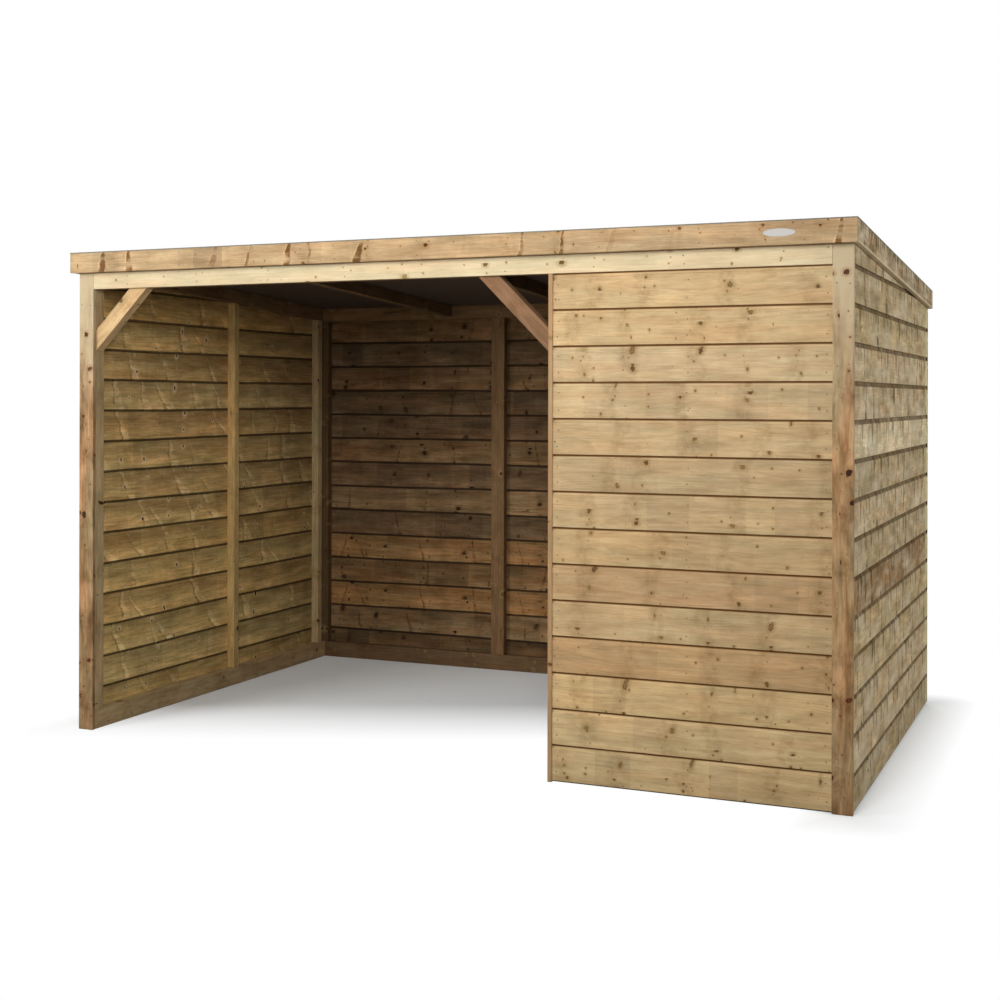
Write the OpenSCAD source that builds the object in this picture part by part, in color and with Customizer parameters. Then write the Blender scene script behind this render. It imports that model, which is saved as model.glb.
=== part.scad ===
// Open-fronted timber field shelter with a closed panel on the right of the
// front and a single-slope roof that falls from the front to the back.
// The origin is on the ground at the middle of the whole outline.
// +X is to the right as one faces the opening, +Y is towards the back wall.

/* [Overall] */
// Width over the side walls' outer faces
shelter_w = 3600; // [2900:10:4400]
// Depth from the front cover trims' face to the back wall's outer face
shelter_d = 2230; // [1700:10:3000]
// Height of the roof's top surface at the front edge
front_h = 2240; // [1950:10:2700]
// Fall of the roof's top surface from the front edge to the back edge
roof_fall = 120; // [40:5:220]
// Width of the open part of the front, from the left cover trim to the panel
opening_w = 2292; // [1400:4:2600]

/* [Cladding boards] */
// Thickness of a cladding board
clad_t = 15; // [12:1:22]
// Height that each board of the side walls and the front panel covers
board_pitch = 147.5; // [100:0.5:200]
// Height that each board of the back wall covers
back_board_pitch = 144; // [100:0.5:200]
// Height of the cove along a board's top edge
cove_h = 20; // [8:1:24]
// Depth of the cove at the board above
cove_d = 7; // [3:0.5:8]
// Height of the lowest board's bottom edge above the ground
clad_lift = 8; // [2:1:30]

/* [Wall frames] */
// Stud thickness, from the cladding's inner face into the shelter
stud_t = 45; // [38:1:70]
// Width of a side wall stud
side_stud_w = 46; // [38:1:80]
// Width of a back wall stud
back_stud_w = 80; // [38:1:95]
// Width of a front panel stud
panel_stud_w = 45; // [38:1:80]
// Section of the square corner posts behind the front cover trims
post_w = 63; // [48:1:75]
// Height of the sole plates
sole_h = 88; // [45:1:120]
// Thickness of the side walls' sole plates
side_sole_t = 63; // [48:1:75]
// Distance of a side wall's middle stud behind the front face, to its front edge
side_mid_stud_y = 1212; // [900:1:1300]
// Distance of a side wall's back stud in front of the back wall's frame
side_back_stud_gap = 12; // [0:1:60]
// Spacing of the back wall's studs from the left, stud middle to wall face
back_stud_pitch = 1214; // [900:1:1300]
// Height of the side walls' top rails, measured upright
side_rail_h = 72; // [45:1:90]
// Height of the back wall's top rail at its inner face
back_rail_h = 76; // [45:1:90]

/* [Front] */
// Width of the front cover trims
trim_w = 80; // [65:1:110]
// Thickness of the front cover trims, the lintel board and the panel's edge trim
trim_t = 20; // [16:1:28]
// Height of the lintel board
lintel_h = 75; // [50:1:120]
// Distance of the lintel board's underside below the roof's front edge
lintel_drop = 169; // [150:1:300]
// Thickness of the trim that closes the panel's open edge
edge_trim_t = 19; // [14:1:30]
// Depth of that trim from front to back
edge_trim_d = 64; // [40:1:90]
// Length of the left brace's longer edge along the post and along the lintel
left_brace_reach = 291; // [200:1:400]
// Length of the right brace's longer edge along the trim and along the lintel
right_brace_reach = 323; // [200:1:400]
// Width across the face of a brace
brace_w = 69; // [40:1:95]
// Thickness of a brace from front to back
brace_t = 55; // [35:1:70]

/* [Roof] */
// Thickness of the mineral felt on the roof
felt_t = 3; // [2:0.5:5]
// Thickness of the roof deck
deck_t = 18; // [11:1:24]
// Overhang of the roof in front of the cover trims, with its fascia
front_overhang = 44; // [30:1:90]
// Overhang of the roof behind the back wall, with its fascia
back_overhang = 26; // [22:1:90]
// Height of the front fascia
fascia_h = 94; // [80:1:140]
// Thickness of the fascias and the barge boards
fascia_t = 20; // [14:1:20]
// Height of the barge boards, measured upright
barge_h = 91; // [75:1:140]
// Height of the back fascia
back_fascia_h = 91; // [75:1:140]
// Rafter width
rafter_w = 45; // [35:1:70]
// Rafter depth, measured upright
rafter_h = 63; // [45:1:95]
// Spacing of the rafters
rafter_pitch = 900; // [600:10:1000]

/* [Name plate] */
// Length of the bare oval plate on the fascia
plate_l = 126; // [80:1:160]
// Height of the plate
plate_h = 32; // [20:1:50]
// Thickness of the plate
plate_t = 2; // [1:0.5:4]
// Distance of the plate's middle from the right side wall's outer face
plate_inset = 273; // [150:1:600]

/* [Hidden] */
half_w = shelter_w / 2;
roof_half_w = half_w + fascia_t;
roof_front = -front_overhang;
roof_back = shelter_d + back_overhang;
slope = roof_fall / (roof_back - roof_front);
// The origin lies midway between the name plate's face and the roof's back edge
origin_y = (roof_front - plate_t + roof_back) / 2;

// Planes of the frame, counted from the face of the front cover trims
frame_front = trim_t;
back_clad_front = shelter_d - clad_t;
back_frame_front = back_clad_front - stud_t;
side_clad_in = half_w - clad_t;
cover_t = felt_t + deck_t;
lintel_z = front_h - lintel_drop;
lintel_top = lintel_z + lintel_h;
panel_edge_x = -half_w + trim_w + opening_w;
panel_clad_x0 = panel_edge_x + edge_trim_t;
panel_clad_x1 = half_w - trim_w;
post_in = side_clad_in - post_w;
brace_cut = brace_w * sqrt(2);
panel_stud_span = post_in - panel_clad_x0;

// Height of a line that runs parallel to the roof, this far below its top surface
function roof_z(y, drop) = front_h - slope * (y - roof_front) - drop;

// Moves the house, built from the face of the front cover trims, to the origin
module placed() {
    translate([0, -origin_y, 0]) children();
}

// Outline in Y and Z, drawn out along X
module along_x(x0, x1, points) {
    translate([x0, 0, 0])
        rotate([90, 0, 90])
            linear_extrude(height = x1 - x0) polygon(points);
}

// Outline in X and Z, drawn out along Y
module along_y(y0, y1, points) {
    translate([0, y1, 0])
        rotate([90, 0, 0])
            linear_extrude(height = y1 - y0) polygon(points);
}

// A block whose top follows the roof at a given distance below it
module block_to_roof(x0, x1, y0, y1, z0, drop) {
    along_x(x0, x1, [[y0, z0], [y1, z0], [y1, roof_z(y1, drop)], [y0, roof_z(y0, drop)]]);
}

// A bar of upright height h that runs down the slope under the roof
module bar_down_slope(x0, x1, y0, y1, drop, h) {
    along_x(x0, x1, [
        [y0, roof_z(y0, drop + h)], [y1, roof_z(y1, drop + h)],
        [y1, roof_z(y1, drop)], [y0, roof_z(y0, drop)]
    ]);
}

// A plain block between two corners
module block(x0, x1, y0, y1, z0, z1) {
    translate([x0, y0, z0]) cube([x1 - x0, y1 - y0, z1 - z0]);
}

// Number of boards that reach a height
function board_count(top, pitch) = ceil((top - clad_lift) / pitch);

// Outer edge of a stack of coved boards, as [depth behind the face, height]
function coved_edge(top, pitch) = [
    for (i = [0 : board_count(top, pitch) - 1])
        let (z0 = clad_lift + i * pitch, z1 = z0 + pitch)
            for (p = [[0, z0], [0, z1 - cove_h], [cove_d, z1]]) p
];

// Section through a stack of coved boards whose face looks along -1 or +1
function clad_outline(face, side, top, pitch) = concat(
    [for (p = coved_edge(top, pitch)) [face - side * p[0], p[1]]],
    [
        [face - side * clad_t, clad_lift + board_count(top, pitch) * pitch],
        [face - side * clad_t, clad_lift]
    ]
);

// The space under the roof deck, which trims what rises to it
module under_deck() {
    along_x(-half_w, half_w, [
        [0, 0], [shelter_d, 0],
        [shelter_d, roof_z(shelter_d, cover_t)], [0, roof_z(0, cover_t)]
    ]);
}

module side_cladding(side) {
    color("darkkhaki") placed() intersection() {
        along_y(frame_front, back_clad_front, clad_outline(side * half_w, side, front_h, board_pitch));
        under_deck();
    }
}

module left_wall_cladding() {
    side_cladding(-1);
}

module right_wall_cladding() {
    side_cladding(1);
}

module back_wall_cladding() {
    color("darkkhaki") placed() intersection() {
        along_x(-half_w, half_w, clad_outline(shelter_d, 1, front_h, back_board_pitch));
        under_deck();
    }
}

// The panel's boards stop under the lintel board
module front_panel_cladding() {
    face = frame_front - clad_t;
    color("burlywood") placed() intersection() {
        along_x(panel_clad_x0, panel_clad_x1, clad_outline(face, -1, lintel_z, board_pitch));
        block(panel_clad_x0, panel_clad_x1, face, frame_front, 0, lintel_z);
    }
}

module side_sole(side) {
    a = side * side_clad_in;
    b = side * (side_clad_in - side_sole_t);
    color("darkkhaki") placed()
        block(min(a, b), max(a, b), frame_front, back_frame_front, 0, sole_h);
}

module left_sole_plate() {
    side_sole(-1);
}

module right_sole_plate() {
    side_sole(1);
}

module back_sole_plate() {
    color("darkkhaki") placed()
        block(-side_clad_in, side_clad_in, back_frame_front, back_clad_front, 0, sole_h);
}

module panel_sole_plate() {
    x1 = side_clad_in - side_sole_t;
    color("darkkhaki") placed()
        block(panel_clad_x0, x1, frame_front, frame_front + stud_t, 0, sole_h);
}

// An upright of a side wall, standing on the sole plate under the sloping rail
module side_upright(side, depth, y0, width) {
    a = side * side_clad_in;
    b = side * (side_clad_in - depth);
    color("tan") placed()
        block_to_roof(min(a, b), max(a, b), y0, y0 + width, sole_h, cover_t + side_rail_h);
}

module left_front_post() {
    side_upright(-1, post_w, frame_front, post_w);
}

module left_middle_stud() {
    side_upright(-1, stud_t, side_mid_stud_y, side_stud_w);
}

module left_back_stud() {
    side_upright(-1, stud_t, back_frame_front - side_back_stud_gap - side_stud_w, side_stud_w);
}

module right_front_post() {
    side_upright(1, post_w, frame_front, post_w);
}

module right_middle_stud() {
    side_upright(1, stud_t, side_mid_stud_y, side_stud_w);
}

module right_back_stud() {
    side_upright(1, stud_t, back_frame_front - side_back_stud_gap - side_stud_w, side_stud_w);
}

// Underside of the back wall's top rail
function back_rail_z() = roof_z(back_frame_front, cover_t) - back_rail_h;

// An upright of the back wall, given by its middle
module back_upright(x) {
    color("tan") placed()
        block(x - back_stud_w / 2, x + back_stud_w / 2,
            back_frame_front, back_clad_front, sole_h, back_rail_z());
}

module back_left_stud() {
    back_upright(-side_clad_in + back_stud_w / 2);
}

module back_middle_left_stud() {
    back_upright(-half_w + back_stud_pitch);
}

module back_middle_right_stud() {
    back_upright(half_w - back_stud_pitch);
}

module back_right_stud() {
    back_upright(side_clad_in - back_stud_w / 2);
}

// An upright of the front panel, under the header
module panel_upright(x0) {
    color("tan") placed()
        block(x0, x0 + panel_stud_w, frame_front, frame_front + stud_t, sole_h, lintel_z);
}

module panel_left_stud() {
    panel_upright(panel_clad_x0);
}

module panel_middle_stud() {
    panel_upright(panel_clad_x0 + (panel_stud_span - panel_stud_w) / 2);
}

module panel_right_stud() {
    panel_upright(post_in - panel_stud_w);
}

module side_top_rail(side) {
    a = side * side_clad_in;
    b = side * (side_clad_in - stud_t);
    color("saddlebrown") placed()
        bar_down_slope(min(a, b), max(a, b), frame_front, back_frame_front, cover_t, side_rail_h);
}

module left_top_rail() {
    side_top_rail(-1);
}

module right_top_rail() {
    side_top_rail(1);
}

module back_top_rail() {
    color("saddlebrown") placed()
        block_to_roof(-side_clad_in, side_clad_in,
            back_frame_front, back_clad_front, back_rail_z(), cover_t);
}

// The header spans between the corner posts behind the lintel board
module front_header() {
    color("saddlebrown") placed()
        block_to_roof(-post_in, post_in, frame_front, frame_front + stud_t, lintel_z, cover_t);
}

module cover_trim(side) {
    a = side * half_w;
    b = side * (half_w - trim_w);
    color("burlywood") placed()
        block(min(a, b), max(a, b), 0, trim_t, 0, lintel_top);
}

module left_cover_trim() {
    cover_trim(-1);
}

module right_cover_trim() {
    cover_trim(1);
}

module panel_edge_trim() {
    color("wheat") placed()
        block(panel_edge_x, panel_clad_x0, 0, edge_trim_d, 0, lintel_z);
}

module lintel_board() {
    color("wheat") placed()
        block(-half_w + trim_w, half_w - trim_w, 0, trim_t, lintel_z, lintel_top);
}

// A brace at 45 degrees in the corner under the header, as seen from the front
module brace(corner_x, side, reach) {
    color("burlywood") placed()
        along_y(frame_front, frame_front + brace_t, [
            [corner_x, lintel_z - reach],
            [corner_x, lintel_z - reach + brace_cut],
            [corner_x + side * (reach - brace_cut), lintel_z],
            [corner_x + side * reach, lintel_z]
        ]);
}

module left_brace() {
    brace(-post_in, 1, left_brace_reach);
}

module right_brace() {
    brace(panel_edge_x, -1, right_brace_reach);
}

module rafter(x) {
    color("saddlebrown") placed()
        bar_down_slope(x - rafter_w / 2, x + rafter_w / 2,
            frame_front + stud_t, back_frame_front, cover_t, rafter_h);
}

module left_rafter() {
    rafter(-rafter_pitch);
}

module middle_rafter() {
    rafter(0);
}

module right_rafter() {
    rafter(rafter_pitch);
}

module roof_deck() {
    color("dimgray") placed()
        bar_down_slope(-half_w, half_w, roof_front + fascia_t, roof_back - fascia_t, felt_t, deck_t);
}

module roof_felt() {
    color("darkslategray") placed()
        bar_down_slope(-half_w, half_w, roof_front + fascia_t, roof_back - fascia_t, 0, felt_t);
}

// The rail that carries the fascia sits on the lintel board and under the deck
module fascia_rail() {
    color("tan") placed()
        block_to_roof(-half_w, half_w, roof_front + fascia_t, trim_t, lintel_top, cover_t);
}

module front_fascia() {
    y1 = roof_front + fascia_t;
    color("burlywood") placed()
        block_to_roof(-roof_half_w, roof_half_w, roof_front, y1, front_h - fascia_h, 0);
}

module back_fascia() {
    y0 = roof_back - fascia_t;
    color("burlywood") placed()
        block_to_roof(-roof_half_w, roof_half_w, y0, roof_back, roof_z(y0, back_fascia_h), 0);
}

module barge_board(side) {
    a = side * half_w;
    b = side * roof_half_w;
    color("burlywood") placed()
        bar_down_slope(min(a, b), max(a, b), roof_front + fascia_t, roof_back - fascia_t, 0, barge_h);
}

module left_barge_board() {
    barge_board(-1);
}

module right_barge_board() {
    barge_board(1);
}

module name_plate() {
    color("silver") placed()
        translate([half_w - plate_inset, roof_front, front_h - fascia_h / 2])
            rotate([90, 0, 0])
                linear_extrude(height = plate_t)
                    scale([1, plate_h / plate_l]) circle(d = plate_l, $fn = 64);
}

left_wall_cladding();
right_wall_cladding();
back_wall_cladding();
front_panel_cladding();
left_sole_plate();
right_sole_plate();
back_sole_plate();
panel_sole_plate();
left_front_post();
left_middle_stud();
left_back_stud();
right_front_post();
right_middle_stud();
right_back_stud();
back_left_stud();
back_middle_left_stud();
back_middle_right_stud();
back_right_stud();
panel_left_stud();
panel_middle_stud();
panel_right_stud();
left_top_rail();
right_top_rail();
back_top_rail();
front_header();
left_cover_trim();
right_cover_trim();
panel_edge_trim();
lintel_board();
left_brace();
right_brace();
left_rafter();
middle_rafter();
right_rafter();
roof_deck();
roof_felt();
fascia_rail();
front_fascia();
back_fascia();
left_barge_board();
right_barge_board();
name_plate();
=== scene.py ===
"""The looks of an open-fronted timber field shelter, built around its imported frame.

Lengths are in metres, or in millimetres where a name ends in mm. +X is to the right as one faces
the opening, +Y runs to the back wall and the ground is at height 0.
"""

import math
import random

import bmesh
import bpy
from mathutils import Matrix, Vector


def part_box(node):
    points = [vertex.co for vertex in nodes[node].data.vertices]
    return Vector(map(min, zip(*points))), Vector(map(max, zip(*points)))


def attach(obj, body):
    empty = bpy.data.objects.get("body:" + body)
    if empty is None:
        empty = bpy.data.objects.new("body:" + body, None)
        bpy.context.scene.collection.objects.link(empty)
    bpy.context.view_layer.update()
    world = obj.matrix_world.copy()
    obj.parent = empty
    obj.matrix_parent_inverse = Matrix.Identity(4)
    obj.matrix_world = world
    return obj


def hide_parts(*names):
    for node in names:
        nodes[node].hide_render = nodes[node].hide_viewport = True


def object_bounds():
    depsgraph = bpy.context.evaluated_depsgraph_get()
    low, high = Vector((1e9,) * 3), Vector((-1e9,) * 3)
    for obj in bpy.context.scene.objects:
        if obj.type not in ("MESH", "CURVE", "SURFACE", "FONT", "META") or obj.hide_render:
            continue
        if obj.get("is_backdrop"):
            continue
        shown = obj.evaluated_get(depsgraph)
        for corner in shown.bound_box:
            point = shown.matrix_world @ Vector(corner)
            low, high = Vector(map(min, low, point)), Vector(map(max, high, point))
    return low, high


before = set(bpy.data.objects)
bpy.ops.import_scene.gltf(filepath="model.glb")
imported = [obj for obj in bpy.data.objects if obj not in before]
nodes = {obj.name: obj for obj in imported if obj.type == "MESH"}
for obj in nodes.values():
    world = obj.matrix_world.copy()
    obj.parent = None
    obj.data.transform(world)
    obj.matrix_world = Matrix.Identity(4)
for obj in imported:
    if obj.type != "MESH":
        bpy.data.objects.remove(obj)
cad_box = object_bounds()

MM = 0.001
UP = Vector((0, 0, 1))
RIGHT = Vector((1, 0, 0))
BACK = Vector((0, 1, 0))


# ---- Sizes that the frame's boxes don't give ----

CLAD_T = 15 * MM
BOARD_PITCH = 147.5 * MM
BACK_BOARD_PITCH = 144 * MM
COVE_H = 20 * MM
COVE_D = 7 * MM
COVE_STEPS = 4
TONGUE_T = 11 * MM
STATION_GAP = 100 * MM
LAP = 20 * MM
LAP_GAP = 4 * MM
BOARD_ARRIS = 1.2 * MM
BOARD_BOW = 0.8 * MM
FACE_WANDER = 0.8 * MM
SAWN_WANDER = 4 * MM
TIMBER_ARRIS = 2.5 * MM
DECK_T = 18 * MM
FELT_T = 3 * MM
FELT_SHEETS = 3
FELT_LAP_H = 2.5 * MM
FELT_EDGE_T = 1.2 * MM
FELT_TURN = 3 * MM
FASCIA_T = 20 * MM
# Loops of the plate from its back to the middle of its face: distance in from the outline, height
PLATE_RINGS = [(0, 0), (0, 1.5 * MM), (0.5 * MM, 2 * MM), (2 * MM, 2 * MM), (2.6 * MM, 1.2 * MM)]
PLATE_SIDES = 64
NAIL_R = 3.2 * MM
CLOUT_R = 5 * MM
NAIL_SIDES = 8
NAIL_PROUD = 0.4 * MM
NAIL_DEPTH = 1.5 * MM
NAIL_STRAY = 4 * MM
NAIL_CLEAR = 15 * MM
BOARD_NAIL_LOW = 35 * MM
BOARD_NAIL_HIGH = 100 * MM
EDGE_NAIL = 18 * MM
BARGE_NAIL = 72 * MM
TRIM_NAIL_GAP = 320 * MM
FASCIA_NAIL_GAP = 400 * MM
BARGE_NAIL_GAP = 380 * MM
CLOUT_GAP = 100 * MM
CLOUT_INSET = 17.5 * MM
# How far a piece's tone may lie from its wood's, as a share
TONE_SPREAD = 0.06
# All logs end to end. Each piece takes its stretch from anywhere along them
LOGS_LENGTH = 200
# Where the heart of a piece's log lies from its middle, across and through it
HEART_NEAR_EDGE = (0.02, -0.05)
HEART_INSIDE = (0.01, -0.02)
HEART_BEHIND = (0.0, 0.06)
# The first seed of each kind of piece. Every piece has its own, so the pieces vary apart
BOARD_SEED, WALL_NAIL_SEED, TRIM_NAIL_SEED, BARGE_NAIL_SEED, CLOUT_SEED = 11, 21, 31, 41, 51
FRAME_SEED, TRIM_SEED, LINTEL_SEED, EDGE_TRIM_SEED = 100, 200, 301, 302
# The direction in which the floor of the bay falls into shade
BAY_SHADE = (-0.394, 0.919, 0)
FLOOR_HALF = 30
FLOOR_DROP = 0.5 * MM


# ---- Camera ----


def make_camera():
    """Stands in front of the right corner at eye height and looks level into the opening"""
    data = bpy.data.cameras.new("camera")
    data.sensor_width = 36
    data.lens = 52.37
    data.shift_y = -0.1009
    camera = bpy.data.objects.new("camera", data)
    bpy.context.scene.collection.objects.link(camera)
    camera.location = (2.7295, -6.6292, 1.5594)
    camera.rotation_euler = (math.radians(90), math.radians(-0.13), math.radians(23.222))
    bpy.context.scene.camera = camera


make_camera()


# ---- Colours and nodes ----


def linear(hex_colour):
    """An sRGB hex value as linear red, green, blue and alpha"""
    parts = [int(hex_colour[i : i + 2], 16) / 255 for i in (1, 3, 5)]
    return [c / 12.92 if c <= 0.04045 else ((c + 0.055) / 1.055) ** 2.4 for c in parts] + [1.0]


def add(tree, kind, inputs=(), out=0, **settings):
    """Adds one node with its settings, fills its inputs with numbers, hex colours or links, returns
    an output. The kind may be followed by an operation, as in Math MULTIPLY"""
    kind, _, operation = kind.partition(" ")
    made = tree.nodes.new("ShaderNode" + kind)
    if operation:
        made.operation = operation
    for setting, value in settings.items():
        setattr(made, setting, value)
    pairs = inputs.items() if isinstance(inputs, dict) else enumerate(inputs)
    for key, value in pairs:
        if isinstance(value, bpy.types.NodeSocket):
            tree.links.new(value, made.inputs[key])
        else:
            made.inputs[key].default_value = linear(value) if isinstance(value, str) else value
    return made.outputs[out] if made.outputs else made


def new_material(name):
    """An empty node material and its tree"""
    material = bpy.data.materials.new(name)
    material.use_nodes = True
    material.node_tree.nodes.clear()
    return material, material.node_tree


# A colour Mix node takes its factor at input 0 and its colours at 6 and 7, and gives output 2
MIX_COLOURS = {"data_type": "RGBA", "out": 2}
SOFT_STEP = {"interpolation_type": "SMOOTHSTEP"}
# Cells along a line, one unit long on average
ON_A_LINE = {"voronoi_dimensions": "1D"}


# ---- Softwood ----
# Spruce and pine, pressure treated. Each piece is cut from its own stretch of a log, so its rings,
# fibres and knots run through it in three dimensions and meet round every corner.
# Attributes: wood_place is along, across and through the piece, log_heart is where the log's
# heart lies from it, board_colour is the colour of its clear wood, and board_rise is how far up
# the visible part of a wall board a point lies, from 0 at its foot to 1 at the foot of the next.


def tinted(tree, colour, amount, tint, depth=1.0):
    """Multiplies a colour by one plus a tint, for an amount that runs from -1 or 0 to 1"""
    tint = [depth * part for part in tint]
    factor = add(tree, "VectorMath MULTIPLY_ADD", [amount, tint, (1, 1, 1)])
    return add(tree, "VectorMath MULTIPLY", [colour, factor])


def stretched_noise(tree, place, scale, detail=2.0, low=0.32, high=0.68, floor=-1.0, shift=0.0):
    """Noise whose features are 1/scale metres long in each direction, from the floor to 1"""
    spot = add(tree, "VectorMath MULTIPLY_ADD", [place, scale, (shift, shift, shift)])
    noise = add(tree, "TexNoise", {"Vector": spot, "Scale": 1.0, "Detail": detail, "Roughness": 0.6})
    return add(tree, "MapRange", [noise, low, high, floor, 1.0])


def branches(tree, along, reach, turn, gap, crowd, scatter, lean, size, rarity=1.7):
    """Distance to the nearest branch in the log, counted in its radii, that branch's luck, and how
    far along the log its whorl lies"""
    station = add(tree, "Math DIVIDE", [along, gap])
    uneven = {"W": station, "Scale": 1.0, "Randomness": 0.6}
    whorl = add(tree, "TexVoronoi", uneven, **ON_A_LINE).node
    steps = add(tree, "Math SUBTRACT", [whorl.outputs["W"], station])
    off_whorl = add(tree, "Math MULTIPLY", [steps, gap])
    whorl_number = add(tree, "SeparateColor", [whorl.outputs["Color"]])
    start = add(tree, "Math MULTIPLY", [whorl_number, 57.0])
    fan = add(tree, "Math MULTIPLY_ADD", [turn, crowd, start])
    uneven = {"W": fan, "Scale": 1.0, "Randomness": 0.9}
    spoke = add(tree, "TexVoronoi", uneven, **ON_A_LINE).node
    swing = add(tree, "Math SUBTRACT", [spoke.outputs["W"], fan])
    swing = add(tree, "Math MULTIPLY", [swing, 1 / crowd])
    side = add(tree, "Math MULTIPLY", [swing, reach])
    luck = add(tree, "SeparateColor", [spoke.outputs["Color"]]).node
    shift = add(tree, "Math MULTIPLY_ADD", [luck.outputs[1], scatter, -scatter / 2])
    climb = add(tree, "Math MULTIPLY_ADD", [reach, lean, shift])
    lift = add(tree, "Math ADD", [off_whorl, climb])
    offset = add(tree, "CombineXYZ", [side, lift, 0.0])
    distance = add(tree, "VectorMath LENGTH", [offset], out="Value")
    # A third of the branches are only a thread, few are thick, and each grows from nothing outward
    thickness = add(tree, "MapRange", [luck.outputs[0], 0.3, 1.0, 0.0, 1.0])
    thickness = add(tree, "Math POWER", [thickness, rarity])
    thickness = add(tree, "Math MULTIPLY_ADD", [thickness, 0.95 * size, 0.05 * size])
    growth = add(tree, "MapRange", [reach, 0.0, 0.035, 0.35, 1.0])
    radius = add(tree, "Math MULTIPLY", [thickness, growth])
    return add(tree, "Math DIVIDE", [distance, radius]), luck.outputs[2], off_whorl


def spikes(tree, place, gap, width, lean, spread):
    """Branches cut along their length, which cross a piece as bent stripes: how far a point lies
    from the nearest one's middle, in half widths with a sign, and how plainly it shows there"""
    axes = add(tree, "SeparateXYZ", [place]).node
    station = add(tree, "Math MULTIPLY", [axes.outputs[0], 1 / gap])
    uneven = {"W": station, "Scale": 1.0, "Randomness": 0.8}
    cell = add(tree, "TexVoronoi", uneven, **ON_A_LINE).node
    luck = add(tree, "SeparateColor", [cell.outputs["Color"]]).node
    off = add(tree, "Math SUBTRACT", [cell.outputs["W"], station])
    off = add(tree, "Math MULTIPLY", [off, gap])
    slant = add(tree, "Math MULTIPLY_ADD", [luck.outputs[0], 2 * spread, lean - spread])
    off = add(tree, "Math MULTIPLY_ADD", [slant, axes.outputs[1], off])
    bend = stretched_noise(tree, place, (4.0, 9.0, 4.0), detail=1.0, shift=61.0)
    off = add(tree, "Math MULTIPLY_ADD", [bend, 0.3 * width, off])
    ragged = stretched_noise(tree, place, (60.0, 90.0, 60.0), detail=3.0, shift=65.0)
    off = add(tree, "Math MULTIPLY_ADD", [ragged, 0.08 * width, off])
    # Each grows from a point at one edge of the piece to its full thickness at the other
    growing = [luck.outputs[1], 0.4 * width, 0.25 * width]
    thickness = add(tree, "Math MULTIPLY_ADD", growing)
    growth = add(tree, "MapRange", [axes.outputs[1], 0.06, -0.06, 0.45, 1.2])
    thickness = add(tree, "Math MULTIPLY", [thickness, growth])
    off = add(tree, "Math DIVIDE", [off, thickness])
    shown = add(tree, "MapRange", [luck.outputs[2], 0.25, 0.55, 0.0, 1.0])
    worn = stretched_noise(tree, place, (9.0, 26.0, 9.0), low=0.36, high=0.56, floor=0.0, shift=71.0)
    return off, add(tree, "Math MULTIPLY", [shown, worn])


def spiked(tree, colour, place, gap_mm, width_mm, lean, spread, body, flank, depth):
    """Draws the spikes: a band with the body's tint, and along one side of it a thin flank"""
    off, plain = spikes(tree, place, gap_mm * MM, width_mm * MM, lean, spread)
    plain = add(tree, "Math MULTIPLY", [plain, depth])
    middle = add(tree, "Math ABSOLUTE", [off])
    middle = add(tree, "MapRange", [middle, 1.0, 0.6, 0.0, 1.0], **SOFT_STEP)
    middle = add(tree, "Math MULTIPLY", [middle, plain])
    side = add(tree, "Math SUBTRACT", [off, 1.0])
    side = add(tree, "Math ABSOLUTE", [side])
    side = add(tree, "MapRange", [side, 0.4, 0.1, 0.0, 1.0], **SOFT_STEP)
    side = add(tree, "Math MULTIPLY", [side, plain])
    return tinted(tree, tinted(tree, colour, middle, body), side, flank)


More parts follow.
